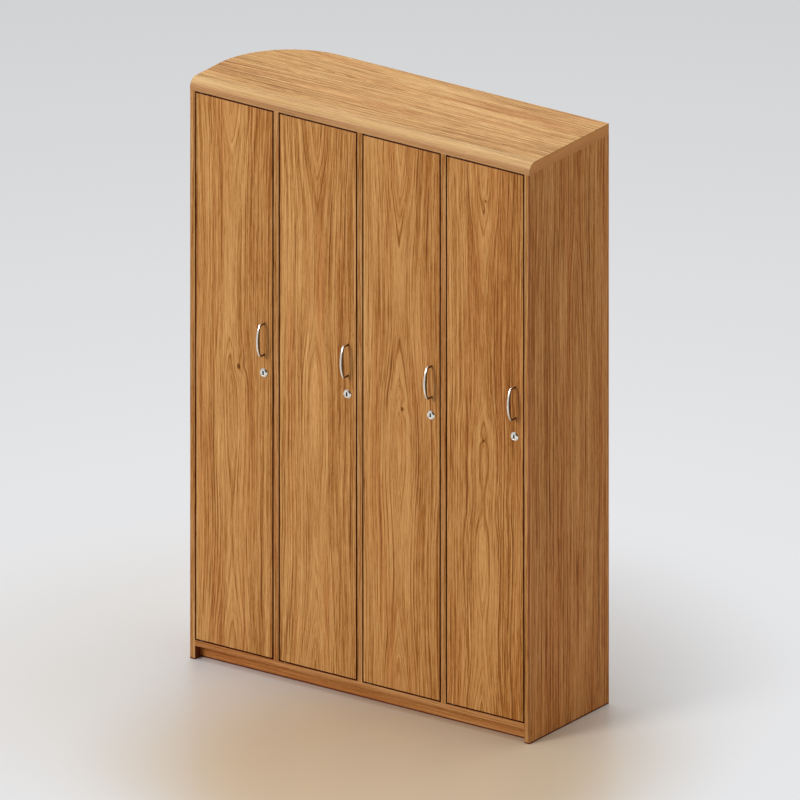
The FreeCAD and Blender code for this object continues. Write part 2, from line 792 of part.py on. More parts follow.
def handle(door):
    name = f"door_{door}_handle"
    body = doc.addObject("PartDesign::Body", f"{name}_bow")
    path = sketch(body, f"{name}_side", "YZ_Plane")
    hollow = S.handle_projection - S.handle_grip
    upper, lower = bow_side(
        path,
        S.handle_projection,
        S.handle_span + S.handle_foot,
        S.handle_bow_radius,
        S.handle_bend_radius,
    )
    upper_inside, lower_inside = bow_side(
        path,
        hollow,
        S.handle_span - S.handle_foot,
        S.handle_hollow_radius,
        S.handle_crook_radius,
    )
    foot_end(path, (upper, 1), (upper_inside, 1))
    foot_end(path, (lower, 2), (lower_inside, 2))
    plate = pad(body, f"{name}_plate", path, S.handle_width)
    middles = [(x, -reach, NONE) for x in (NONE, S.handle_width) for reach in (S.handle_projection, hollow)]
    round_edges(body, f"{name}_rounded", plate, middles, S.handle_edge_radius)
    place(body, (handle_x(door) - S.handle_width / 2, FRONT, S.handle_height))

    cutters = []
    screws = []
    for side in SIDES:
        tag = f"{name}_screw_{side + 1}"
        z = S.handle_height + S.handle_span / 2 * side
        seat = (handle_x(door), DOOR_BACK, z)
        screws.append(screw(tag, seat, "-y", HANDLE_SCREW))
        depth = S.door_thickness + S.overrun
        drill(f"door_{door}", bore(f"{tag}_hole", seat, "-y", S.handle_screw, depth))
        foot = (handle_x(door), FRONT, z)
        grip_depth = S.handle_screw_grip + S.fit_clearance
        cutters.append(bore(f"{tag}_bore", foot, "-y", S.handle_screw, grip_depth))
    return cut(name, body, cutters), screws


# Cam lock: a turned housing and its nut on the door, a plug, a cam and its screw that turn
def lock_housing(door):
    name = f"door_{door}_lock_housing"
    body = doc.addObject("PartDesign::Body", name)
    profile = sketch(body, f"{name}_profile", "XY_Plane")
    mouth = S.plug_diameter / 2 + S.running_clearance
    throat = S.plug_stem / 2 + S.running_clearance
    outline(
        profile,
        [
            (throat, S.barrel_length),
            (S.lock_barrel / 2, S.barrel_length),
            (S.lock_barrel / 2, NONE),
            (S.lock_face / 2, NONE),
            (S.lock_face / 2, -S.lock_rim),
            (S.lock_crown / 2, -S.lock_proud),
            (mouth, -S.lock_proud),
            (mouth, S.plug_shoulder),
            (throat, S.plug_shoulder),
        ],
    )
    turned = body.newObject("PartDesign::Revolution", f"{name}_turned")
    turned.Profile = profile
    turned.ReferenceAxis = (profile, ["V_Axis"])
    turned.Angle = 360
    doc.recompute()
    return place(body, (lock_x(door), FRONT, S.lock_height))


def lock_nut(door):
    name = f"lock_{door}_nut"
    seat = (lock_x(door), DOOR_BACK, S.lock_height)
    depth = S.door_thickness + S.overrun
    drill(f"door_{door}", bore(f"{name}_door_bore", seat, "-y", S.lock_barrel, depth))
    hexagon = doc.addObject("Part::Prism", f"{name}_hexagon")
    hexagon.Polygon = 6
    bind(hexagon, {"Circumradius": S.nut_width / math.sqrt(3), "Height": S.nut_height})
    place(hexagon, seat, TURNS["+y"])
    return cut(name, hexagon, [bore(f"{name}_bore", seat, "+y", S.lock_barrel, S.nut_height + S.overrun)])


def lock_plug(door):
    name = f"lock_{door}_plug"
    x, z = lock_x(door), S.lock_height
    face = FRONT - S.lock_proud + S.plug_recess
    shoulder = FRONT + S.plug_shoulder - S.running_clearance
    half = S.cam_square / 2
    head = rod(f"{name}_head", (x, face, z), "+y", S.plug_diameter, shoulder - face)
    stem = rod(f"{name}_stem", (x, shoulder, z), "+y", S.plug_stem, CAM_FRONT - shoulder)
    square = block(f"{name}_square", (x - half, CAM_FRONT, z - half), (x + half, CAM_REAR, z + half))
    keyway = block(
        f"{name}_keyway",
        (x - S.key_width / 2, face - S.overrun, z - S.key_height / 2),
        (x + S.key_width / 2, face + S.key_depth, z + S.key_height / 2),
    )
    depth = S.cam_screw_length + S.fit_clearance
    thread = bore(f"{name}_thread", (x, CAM_REAR, z), "-y", S.cam_screw, depth)
    return cut(name, fuse(f"{name}_solid", [head, stem, square]), [keyway, thread])


def lock_cam(door):
    """A lever that hangs down at rest, so that the door is free."""
    name = f"lock_{door}_cam"
    x, z = lock_x(door), S.lock_height
    half = S.cam_width / 2
    tip = z - S.cam_reach + half
    eye = rod(f"{name}_eye", (x, CAM_FRONT, z), "+y", S.cam_width, S.cam_thickness)
    lever = block(f"{name}_lever", (x - half, CAM_FRONT, tip), (x + half, CAM_REAR, z))
    end = rod(f"{name}_end", (x, CAM_FRONT, tip), "+y", S.cam_width, S.cam_thickness)
    room = S.cam_square / 2 + S.fit_clearance
    square = block(
        f"{name}_square",
        (x - room, CAM_FRONT - S.overrun, z - room),
        (x + room, CAM_REAR + S.overrun, z + room),
    )
    return cut(name, fuse(f"{name}_solid", [eye, lever, end]), [square])


def catch_plate(door):
    name = f"door_{door}_catch_plate"
    half = S.catch_plate_length / 2
    plate = block(
        f"{name}_blank",
        (catch_x(door) - half, DOOR_BACK, DOOR_TOP - S.catch_plate_height),
        (catch_x(door) + half, DOOR_BACK + S.catch_plate_thickness, DOOR_TOP),
    )
    seat = (catch_x(door), DOOR_BACK + S.catch_plate_thickness, DOOR_TOP - S.catch_plate_screw)
    fixing = wood_screw(f"{name}_screw", f"door_{door}", seat, "-y")
    hole = bore(f"{name}_hole", seat, "-y", S.screw_shank, S.catch_plate_thickness + S.overrun)
    return cut(name, plate, [hole]), fixing


# Doors with their fittings
for door in DOORS:
    top_pivot, top_screws = pivot(door, "top", DOOR_TOP, "+z")
    bottom_pivot, bottom_screws = pivot(door, "bottom", DOOR_BOTTOM, "-z")
    bow, bow_screws = handle(door)
    plate, plate_screw = catch_plate(door)
    housing = lock_housing(door)
    fasteners = top_screws + bottom_screws + bow_screws + [plate_screw, lock_nut(door)]
    cam_seat = (lock_x(door), CAM_REAR, S.lock_height)
    low = (door_left(door), FRONT, DOOR_BOTTOM)
    high = (door_right(door), DOOR_BACK, DOOR_TOP)
    nodes += [
        board(f"door_{door}", low, high, eased=UPRIGHT + LEVEL),
        group(f"door_{door}_pivots", [top_pivot, bottom_pivot]),
        bow,
        plate,
        housing,
        group(f"door_{door}_fasteners", fasteners),
        lock_plug(door),
        lock_cam(door),
        screw(f"lock_{door}_cam_screw", cam_seat, "-y", CAM_SCREW),
    ]

# Check and write
doc.recompute()
for item in doc.Objects:
    if {"Invalid", "Error"} & set(item.State):
        raise RuntimeError(f"{item.Name} did not build")
os.makedirs("parts", exist_ok=True)
for item in nodes:
    if item.Shape.isNull() or not item.Shape.isValid():
        raise RuntimeError(f"{item.Label} has no valid shape")
    item.Shape.exportStep(f"parts/{item.Label}.step")
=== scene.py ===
import math

import bpy
from mathutils import Matrix, Vector


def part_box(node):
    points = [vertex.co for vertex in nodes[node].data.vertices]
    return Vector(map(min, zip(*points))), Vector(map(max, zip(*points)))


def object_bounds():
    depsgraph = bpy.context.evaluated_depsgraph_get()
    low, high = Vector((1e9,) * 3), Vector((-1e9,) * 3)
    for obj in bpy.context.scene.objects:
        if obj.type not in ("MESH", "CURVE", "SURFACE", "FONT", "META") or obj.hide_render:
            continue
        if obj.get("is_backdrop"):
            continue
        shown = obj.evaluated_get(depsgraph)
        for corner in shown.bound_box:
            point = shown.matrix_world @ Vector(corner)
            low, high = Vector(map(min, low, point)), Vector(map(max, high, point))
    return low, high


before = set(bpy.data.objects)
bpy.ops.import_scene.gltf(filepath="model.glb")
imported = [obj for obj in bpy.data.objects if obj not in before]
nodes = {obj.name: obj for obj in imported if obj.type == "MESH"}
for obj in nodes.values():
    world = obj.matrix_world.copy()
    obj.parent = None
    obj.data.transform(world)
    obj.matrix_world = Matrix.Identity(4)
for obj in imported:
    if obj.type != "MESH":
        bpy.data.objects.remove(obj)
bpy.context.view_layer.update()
scene = bpy.context.scene
scene.view_settings.view_transform = "Standard"

DOORS = (1, 2, 3, 4)
# Places on the part, in metres
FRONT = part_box("side_panel_right")[0].y
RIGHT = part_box("side_panel_right")[1].x
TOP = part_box("top_panel")[1].z
UNDER_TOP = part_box("top_panel")[0].z
FLOOR_UNDER, FLOOR_TOP = (corner.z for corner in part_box("bottom_panel"))
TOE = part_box("plinth_front")[0].y
NOSE = 0.028  # radius of the top's front edge
NOSE_END = FRONT + NOSE


# Node trees, built one node at a time; an input takes a number, a colour or a socket
class Graph:
    def __init__(self, owner):
        owner.use_nodes = True
        self.tree = owner.node_tree
        self.tree.nodes.clear()

    def feed(self, socket, value):
        if isinstance(value, bpy.types.NodeSocket):
            self.tree.links.new(value, socket)
        else:
            socket.default_value = value

    def add(self, kind, inputs=None, **settings):
        node = self.tree.nodes.new(kind)
        for key, value in settings.items():
            setattr(node, key, value)
        for key, value in (inputs or {}).items():
            self.feed(node.inputs[key], value)
        return node

    def math(self, operation, *values):
        node = self.add("ShaderNodeMath", operation=operation)
        for socket, value in zip(node.inputs, values):
            self.feed(socket, value)
        return node.outputs[0]

    def chain(self, operation, *values):
        result = values[0]
        for value in values[1:]:
            result = self.math(operation, result, value)
        return result

    def swing(self, value, reach):
        """A value from 0 to 1 turned into one from -reach to reach."""
        return self.math("MULTIPLY_ADD", value, reach * 2, -reach)

    def step(self, value, low, high, first=0.0, last=1.0):
        """A smooth step from first, up to the low value, to last, from the high value on."""
        node = self.add("ShaderNodeMapRange", interpolation_type="SMOOTHSTEP")
        for socket, item in zip(node.inputs, (value, low, high, first, last)):
            self.feed(socket, item)
        return node.outputs[0]

    def below(self, value, low, high, level=1.0):
        """A smooth step down from the level to 0."""
        return self.step(value, low, high, level, 0.0)

    def length(self, a, b):
        return self.math("SQRT", self.math("ADD", self.math("MULTIPLY", a, a), self.math("MULTIPLY", b, b)))

    def vector(self, x, y, z):
        return self.add("ShaderNodeCombineXYZ", {"X": x, "Y": y, "Z": z}).outputs[0]

    def split(self, vector):
        return self.add("ShaderNodeSeparateXYZ", {"Vector": vector}).outputs

    def noise(self, x, y, z, detail=2.0, roughness=0.5):
        """Smooth noise at a place given in the noise's own units."""
        where = self.vector(x, y, z)
        inputs = {"Vector": where, "Scale": 1.0, "Detail": detail, "Roughness": roughness}
        return self.add("ShaderNodeTexNoise", inputs).outputs[0]

    def chance(self, value):
        return self.add("ShaderNodeTexWhiteNoise", {"W": value}, noise_dimensions="1D").outputs[0]

    def ramp(self, value, stops):
        node = self.add("ShaderNodeValToRGB", {"Fac": value})
        elements = node.color_ramp.elements
        for element, (place, colour) in zip(elements, (stops[0], stops[-1])):
            element.position = place
            element.color = (*colour, 1)
        for place, colour in stops[1:-1]:
            elements.new(place).color = (*colour, 1)
        return node.outputs[0]

    def mix(self, factor, first, second, blend="MIX"):
        node = self.add("ShaderNodeMix", data_type="RGBA", blend_type=blend)
        for socket, value in ((node.inputs[0], factor), (node.inputs[6], first), (node.inputs[7], second)):
            self.feed(socket, value)
        return node.outputs[2]

    def tinted(self, factor, colour, tint):
        """The colour, multiplied by the tint as far as the factor says."""
        return self.mix(factor, colour, self.mix(1.0, colour, tint, "MULTIPLY"))

    def curve(self, value, points):
        node = self.add("ShaderNodeFloatCurve", {"Value": value})
        line = node.mapping.curves[0]
        line.points[0].location = points[0]
        line.points[-1].location = points[-1]
        for point in points[1:-1]:
            line.points.new(*point)
        node.mapping.update()
        return node.outputs[0]

    def choose(self, factor, first, second):
        """One shader where the factor is 0 and another where it is 1."""
        node = self.add("ShaderNodeMixShader", {"Fac": factor})
        self.tree.links.new(first.outputs[0], node.inputs[1])
        self.tree.links.new(second.outputs[0], node.inputs[2])
        return node.outputs[0]

    def surface(self, shader, target="ShaderNodeOutputMaterial"):
        output = self.tree.nodes.new(target)
        self.tree.links.new(shader, output.inputs["Surface"])


# Wood veneer: colours by tone, from the dark lines to the pale ground
TEAK = (
    (0.00, (0.120, 0.030, 0.003)),
    (0.25, (0.238, 0.076, 0.008)),
    (0.40, (0.350, 0.134, 0.024)),
    (0.52, (0.455, 0.209, 0.060)),
    (0.78, (0.605, 0.317, 0.107)),
    (1.00, (0.700, 0.405, 0.160)),
)
PALE_TEAK = (
    (0.00, (0.210, 0.080, 0.014)),
    (0.25, (0.340, 0.155, 0.036)),
    (0.40, (0.424, 0.215, 0.062)),
    (0.52, (0.510, 0.282, 0.099)),
    (0.78, (0.610, 0.371, 0.149)),
    (1.00, (0.690, 0.450, 0.215)),
)
RED_TEAK = (
    (0.00, (0.135, 0.034, 0.003)),
    (0.25, (0.290, 0.082, 0.009)),
    (0.42, (0.430, 0.147, 0.026)),
    (0.56, (0.545, 0.218, 0.056)),
    (0.78, (0.655, 0.300, 0.092)),
    (1.00, (0.770, 0.385, 0.140)),
)
RIM_BAND = ((0.2, (0.545, 0.213, 0.040)), (0.8, (0.725, 0.300, 0.066)))
# A dark maroon: painted shade in the gaps round the doors, in the reveals, in the toe recess, along the foot and
# on part of the inside faces; also the colour of the dark door edging and of the glue lines
SHADE_AND_JOINT_MAROON = (0.092, 0.011, 0.005, 1)
NOSE_PLAIN = (0.520, 0.284, 0.102, 1)
# Tints, which multiply a colour
RUSSET = (0.94, 0.84, 0.78, 1)
EDGE_BAND = (0.74, 0.84, 1.02, 1)
RAIL_BAND = (0.83, 0.96, 1.30, 1)
TOE_SHADE = (0.84, 0.89, 1.02, 1)
BAND_FOOT = (0.90, 0.84, 0.84, 1)
NOSE_FRONT = (0.85, 0.77, 0.79, 1)
# A pale tint painted on the upper face of the nose: a painted highlight of the lamps on the rounded edge
NOSE_SHEEN = (1.02, 1.15, 1.36, 1)

# Growth lines, in metres. Here and below, a pair gives the two ends of a step
RING = 0.0090  # width of a growth ring
RING_DRIFT = 0.012  # how far the rings stray from an even spacing
HEART = 0.095  # how far the arches of the heart reach
HEART_POINT = 0.003  # how blunt their points are
WANDER, RIPPLE = 0.016, 0.0024  # how far the grain strays over a long way and over a short one
FAR = (0.012, 0.05)  # from the heart: where its two sides begin to differ
FAINT = (0.02, 0.07)  # where the rings grow fainter
CALM = (0.006, HEART * 0.55)  # where the fibres grow to their full strength
LEAN = (-0.02, 0.13)  # where a leaning board turns from light to dark
ALONG_SCALE, DEPTH_SCALE = 2.0, 0.1  # length and depth at which a figure's curve ends

# Growth lines, as shares
LATE_RISE, LATE_END = (0.62, 0.92), (0.94, 1.0)  # of a ring: where its dark late wood begins and ends
LATE_POWER = 1.3  # makes strong late wood rarer
FAINT_LEVEL, CALM_LEVEL, SPARSE_LEVEL = 0.85, 0.30, 0.25
LEAN_LIGHT, LEAN_DARK = 0.25, -0.85  # change of tone at the two ends of a lean of 1
OTHER_SIDE = 50.0  # added to a ring's number on one side of the heart, to give it other chances
SIDE_SHIFT = 6.0  # how fast a pattern along the lines changes from line to line
KNOT_STRETCH = 1.4  # a knot's length by its width
KNOT_PUSH = 1.6  # how far it pushes the lines out, by its width
KNOT_BEND, KNOT_EDGE = (0.4, 6.0), (0.5, 1.3)  # where the push and the dark spot end, by its width

# Noise patterns: width across the board and length along it in metres, a number that picks the pattern and,
# where they aren't 2 and 0.5, detail and roughness
NOISE = {
    "wander": (0.30, 0.75, 0),
    "ripple": (0.050, 0.26, 3),
    "drift": (0.035, 6.0, 17),
    "fade": (0.020, 0.32, 23),
    "bands": (0.0120, 0.8, 7, 2, 0.55),
    "grain": (0.0038, 0.6, 27, 2, 0.60),
    "fibre": (0.0034, 0.45, 9, 2, 0.60),
    "streak": (0.0036, 0.38, 29, 1, 0.5),
    "dense": (0.055, 1.1, 31),
    "fine": (0.0017, 0.055, 11, 2, 0.6),
    "pores": (0.0011, 0.017, 13, 1, 0.5),
    "cloud": (0.10, 0.9, 15),
    "blush": (0.055, 0.8, 19),
    "glow": (0.30, 0.40, 37),
}
# Noise levels between which a pattern goes from none to full
CUT = {
    "fade": (0.36, 0.62),
    "streak": (0.56, 0.76),
    "dense": (0.40, 0.62),
    "pores": (0.60, 0.72),
    "blush": (0.44, 0.70),
    "glow": (0.42, 0.62),
}
# How far each pattern moves the tone at a contrast of 1; knots move it alike at any contrast
BANDS, GRAIN, FIBRE, FINE, CLOUD, GLOW = 0.19, 0.35, 0.42, 0.42, 0.09, 0.07
STREAK, LATE, PORES, SPOTS = -0.26, -0.54, -0.18, -0.50
# How far they move the surface
FIBRE_RISE, FINE_RISE, PORE_RISE = 0.4, 0.5, -0.5
SATIN, SATIN_RANGE = 0.38, 0.16  # roughness, and how far the fibres raise it


def wood(
    name, along, centre, figure, seed, trim, base, ramp=TEAK, contrast=1.0, gloss=0.16, lean=0.0, knots=()
):
    """Veneer with its grain along x or z: growth lines that arch in the heart and run straight beside it."""
    material = bpy.data.materials.new(name)
    g = Graph(material)
    place = g.add("ShaderNodeTexCoord")
    x, y, z = g.split(place.outputs["Object"])
    normal = g.split(place.outputs["Normal"])
    length, across = (z, g.math("ADD", x, y)) if along == "z" else (x, g.math("ADD", y, z))
    offset = g.math("SUBTRACT", across, centre)

    def stretched(coordinate, pattern):
        """Noise that runs straight along the board."""
        wide, long, turn, *texture = NOISE[pattern]
        along_board = g.math("DIVIDE", length, long)
        return g.noise(g.math("DIVIDE", coordinate, wide), seed + turn, along_board, *texture)

    wander = g.swing(stretched(offset, "wander"), WANDER)
    ripple = g.swing(stretched(offset, "ripple"), RIPPLE)
    shifted = g.chain("ADD", offset, wander, ripple)
    reach = g.length(shifted, HEART_POINT)
    core = g.below(reach, 0.0, HEART)
    arches = [(at / ALONG_SCALE, rise / DEPTH_SCALE) for at, rise in figure]
    depth = g.math("MULTIPLY", g.curve(g.math("DIVIDE", length, ALONG_SCALE), arches), DEPTH_SCALE)
    falloff = g.math("EXPONENT", g.math("DIVIDE", reach, -HEART))
    radius = g.math("MULTIPLY_ADD", depth, falloff, reach)
    spots = 0.0
    for at, along_at, size in knots:
        gap = g.length(
            g.math("DIVIDE", g.math("SUBTRACT", across, at), size),
            g.math("DIVIDE", g.math("SUBTRACT", length, along_at), size * KNOT_STRETCH),
        )
        radius = g.math("ADD", radius, g.below(gap, *KNOT_BEND, size * KNOT_PUSH))
        spots = g.math("ADD", spots, g.below(gap, *KNOT_EDGE))

    side = g.math("MULTIPLY", shifted, SIDE_SHIFT)

    def layered(pattern):
        """Noise that follows the growth lines, and differs on the two sides of the heart."""
        wide, long, turn, *texture = NOISE[pattern]
        along_lines = g.math("ADD", g.math("DIVIDE", length, long), side)
        return g.noise(g.math("DIVIDE", radius, wide), seed + turn, along_lines, *texture)

    # Dark late wood at the end of each ring, of uneven strength
    rings = g.math("DIVIDE", g.math("ADD", radius, g.swing(layered("drift"), RING_DRIFT)), RING)
    edge = g.math("FRACT", rings)
    number = g.math("FLOOR", rings)
    near_chance = g.chance(g.math("ADD", number, seed))
    other = g.math("MULTIPLY_ADD", g.math("GREATER_THAN", shifted, 0.0), OTHER_SIDE, number)
    far_chance = g.chance(other)
    strength = g.add("ShaderNodeMix", {"Factor": g.step(reach, *FAR), "A": near_chance, "B": far_chance})
    late = g.chain(
        "MULTIPLY",
        g.step(edge, *LATE_RISE),
        g.below(edge, *LATE_END),
        g.math("POWER", strength.outputs[0], LATE_POWER),
        g.step(layered("fade"), *CUT["fade"]),
        g.step(reach, *FAINT, 1.0, FAINT_LEVEL),
    )

    fibre = stretched(shifted, "fibre")
    streak = g.step(stretched(shifted, "streak"), *CUT["streak"])
    dense = g.step(stretched(offset, "dense"), *CUT["dense"], SPARSE_LEVEL, 1.0)
    fine = stretched(offset, "fine")
    pores = g.step(stretched(offset, "pores"), *CUT["pores"])
    glow = g.step(stretched(offset, "glow"), *CUT["glow"])
    calm = g.step(reach, *CALM, CALM_LEVEL, 1.0)
    tone = g.chain(
        "ADD",
        base,
        g.swing(layered("bands"), BANDS * contrast),
        g.swing(layered("grain"), GRAIN * contrast),
        g.math("MULTIPLY", g.swing(fibre, FIBRE * contrast), calm),
        g.chain("MULTIPLY", streak, dense, calm, STREAK * contrast),
        g.swing(fine, FINE * contrast),
        g.swing(stretched(offset, "cloud"), CLOUD * contrast),
        g.chain("MULTIPLY", core, glow, GLOW * contrast),
        g.step(offset, *LEAN, LEAN_LIGHT * lean, LEAN_DARK * lean),
        g.math("MULTIPLY", late, LATE * contrast),
        g.math("MULTIPLY", pores, PORES * contrast),
        g.math("MULTIPLY", spots, SPOTS),
    )
    blush = g.step(stretched(offset, "blush"), *CUT["blush"])
    colour = trim(g, (x, y, z), normal, g.tinted(blush, g.ramp(tone, ramp), RUSSET))
    height = g.chain(
        "ADD",
        g.math("MULTIPLY", fibre, FIBRE_RISE),
        g.math("MULTIPLY", fine, FINE_RISE),
        g.math("MULTIPLY", pores, PORE_RISE),
    )
    bump = g.add("ShaderNodeBump", {"Strength": 0.25, "Distance": 0.0004, "Height": height})
    shader = g.add(
        "ShaderNodeBsdfPrincipled",
        {
            "Base Color": colour,
            "Roughness": g.math("MULTIPLY_ADD", fibre, SATIN_RANGE, SATIN),
            "IOR": 1.46,
            "Specular IOR Level": gloss,
            "Normal": bump.outputs[0],
        },
    )
    g.surface(shader.outputs[0])
    return material


# Finishes and painted shade at the edges of the boards: places in metres, then parts of the normal, then
# strengths
# Widths of the dark line painted round a door's faces, painted shade of the gaps, and of its fade
LIPPING_SHADE, SIDE_LIPPING_SHADE = 0.0008, 0.0003  # along the top and bottom of a door's faces, and along their sides
LIPPING_SHADE_FADE = 0.0004
BETWEEN_SIDES = (RIGHT - 0.004, RIGHT - 0.003)
OVER_RAIL = (FLOOR_TOP - 0.003, FLOOR_TOP - 0.002)
UNDER_HEAD = (UNDER_TOP + 0.002, UNDER_TOP + 0.003)
BEHIND_FRONT = (FRONT + 0.0003, FRONT + 0.0008)
REVEAL_END = (FRONT + 0.019, FRONT + 0.023)
FOOT_LINE = (0.0030, 0.0054)
UNDER_RAIL = (FLOOR_UNDER - 0.001, FLOOR_UNDER)
BEFORE_TOE = (TOE - 0.002, TOE - 0.001)
FRONT_EDGE = (FRONT + 0.001, FRONT + 0.003)
GLUE_DEPTH = (FRONT + 0.001, FRONT + 0.002)
GLUE_LINE = (RIGHT - 0.0055, RIGHT - 0.0040)
GLUE_HEAD = (UNDER_TOP, UNDER_TOP + 0.001)
TOE_SHADE_END = (FLOOR_UNDER * 0.45, FLOOR_UNDER * 0.80)
RIM_FOOT = (UNDER_TOP, TOP - 0.008)
RIM_GLUE = (NOSE - 0.0030, NOSE - 0.0016)
PLAIN_END = (FRONT + NOSE * 0.7, NOSE_END)
SHEEN_END = (NOSE_END, NOSE_END + 0.025)
RIM_LINES_UP, RIM_LINES_ALONG, RIM_PATTERN = 260, 7, 3.0  # lines per metre, and which pattern
DOOR_FACES = (0.75, 0.95)
FORWARD, REARWARD = (-0.9, -0.7), (0.02, 0.15)
UPRIGHT = (0.2, 0.4)
RIM_FACE, SHEEN_FACE = (-0.6, -0.3), (-0.90, -0.75)
# How far the painted shade along the foot, in the toe recess and on the inside faces goes towards the dark maroon
FOOT_LEVEL, RECESS_LEVEL, INSIDE_LEVEL = 0.92, 0.9, 0.25
GLUE_LEVEL, RIM_GLUE_LEVEL, PLAIN_LEVEL = 0.55, 0.45, 0.55


def plain_trim(g, point, normal, colour):
    return colour


def door_trim(low, high):
    """The narrow edges of a door have a thin dark edging, and a thin dark line is painted round its faces; both
    paint the shade in the gaps between the doors.
    """

    def trim(g, point, normal, colour):
        narrow = g.below(g.math("ABSOLUTE", normal[1]), *DOOR_FACES)
        spans = ((point[0], low.x, high.x, SIDE_LIPPING_SHADE), (point[2], low.z, high.z, LIPPING_SHADE))
        for part, first, last, lipping_shade in spans:
            inset = g.math("MINIMUM", g.math("SUBTRACT", part, first), g.math("SUBTRACT", last, part))
            narrow = g.math("MAXIMUM", narrow, g.below(inset, lipping_shade, lipping_shade + LIPPING_SHADE_FADE))
        return g.mix(narrow, colour, SHADE_AND_JOINT_MAROON)

    return trim


def carcass_trim(g, point, normal, colour, edge_band=EDGE_BAND):
    """The front edges have a band, and a glue line by the right corner is dark. The reveals, toe recess and foot
    are painted dark as painted shade, and the inside faces a little darker, as a darker finish that also paints
    shade.
    """
    x, y, z = point
    between = g.below(g.math("ABSOLUTE", x), *BETWEEN_SIDES)
    behind = g.step(y, *BEHIND_FRONT)
    inside = g.chain(
        "MULTIPLY",
        between,
        g.step(z, *OVER_RAIL),
        g.below(z, *UNDER_HEAD),
        behind,
        g.below(normal[1], *REARWARD),
    )
    # The inside faces within about 20 mm of the front are painted dark: painted shade of the gaps round the doors
    reveal = g.math("MULTIPLY", inside, g.below(y, *REVEAL_END))
    # A dark line painted along the foot of the boards: a painted contact shadow where they meet the floor
    foot = g.below(z, *FOOT_LINE, FOOT_LEVEL)
    # The faces of the toe recess in front of the plinth are painted dark, as painted shade
    recess = g.chain(
        "MULTIPLY",
        between,
        g.below(z, *UNDER_RAIL, RECESS_LEVEL),
        behind,
        g.below(y, *BEFORE_TOE),
    )
    facing = g.math("MULTIPLY", g.below(normal[1], *FORWARD), g.below(y, *FRONT_EDGE))
    glue = g.chain(
        "MULTIPLY",
        g.below(y, *GLUE_DEPTH),
        g.step(x, *GLUE_LINE, 0.0, GLUE_LEVEL),
        g.below(z, *GLUE_HEAD),
    )
    banded = g.tinted(facing, colour, edge_band)
    # The inside faces are painted a quarter of the way to the dark maroon: a darker inside finish, which also
    # paints shade inside and in the gaps
    shaded = g.mix(g.math("MULTIPLY", inside, INSIDE_LEVEL), banded, SHADE_AND_JOINT_MAROON)
    return g.mix(g.chain("MAXIMUM", reveal, recess, foot, glue), shaded, SHADE_AND_JOINT_MAROON)


def rail_trim(g, point, normal, colour):
    """The lower half of the plinth is painted a little darker than the rail above it, as painted shade."""
    toe = g.below(point[2], *TOE_SHADE_END)
    return carcass_trim(g, point, normal, g.tinted(toe, colour, TOE_SHADE), RAIL_BAND)


def top_trim(g, point, normal, colour):
    """The rim has a plain band with a dark glue line along its upper edge, and the nose is painted paler above, a
    painted highlight.
    """
    _, y, z = point
    upright = g.below(g.math("ABSOLUTE", normal[2]), *UPRIGHT)
    rim = g.math("MULTIPLY", upright, g.step(normal[1], *RIM_FACE))
    lines_up, lines_along = g.math("MULTIPLY", z, RIM_LINES_UP), g.math("MULTIPLY", y, RIM_LINES_ALONG)
    lines = g.noise(lines_up, RIM_PATTERN, lines_along, detail=3, roughness=0.6)
    band = g.tinted(g.below(z, *RIM_FOOT), g.ramp(lines, RIM_BAND), BAND_FOOT)
    outward = g.length(
        g.math("MAXIMUM", g.math("SUBTRACT", NOSE_END, y), 0.0),
        g.math("MAXIMUM", g.math("SUBTRACT", z, TOP - NOSE), 0.0),
    )
    glue = g.step(outward, *RIM_GLUE, 0.0, RIM_GLUE_LEVEL)
    # Painted highlight on the upward faces of the nose
    sheen = g.math("MULTIPLY", g.below(y, *SHEEN_END), g.step(normal[1], *SHEEN_FACE))
    colour = g.mix(g.below(y, *PLAIN_END, PLAIN_LEVEL), colour, NOSE_PLAIN)
    colour = g.tinted(sheen, colour, NOSE_SHEEN)
    return carcass_trim(g, point, normal, g.mix(rim, colour, g.mix(glue, band, SHADE_AND_JOINT_MAROON)), NOSE_FRONT)


# Metals and plastics
PATCH_SCALE = 60  # patches of tone per metre on a metal
PATCH_CUT = (0.35, 0.7)
PATCH_TONE = 0.86
BRUSH_CUT = (0.25, 0.75)
# Dark tone painted on a handle's flanks: a painted dark reflection
FLANK_SHADE = (0.26, 0.23, 0.20, 1)
FLANK_FACE = (0.55, 0.90)  # by the normal's x
# Black painted in and round a lock's key slot: painted shade
KEYHOLE_SHADE = (0.010, 0.009, 0.008, 1)
SLOT_WIDE, SLOT_TALL = (0.0024, 0.0029), (0.0064, 0.0072)  # metres from the middle of a keyway
SLOT_DEEP = (0.0004, 0.0012)  # metres behind the plug's face
SKIN_SCALE = 900  # grains per metre on a plastic
SKIN_TONE = 0.85
SKIN_ROUGHNESS = 0.15


def two_tone(colour, share):
    """A colour and a darker one, to mix."""
    return (*colour, 1), (*(part * share for part in colour), 1)


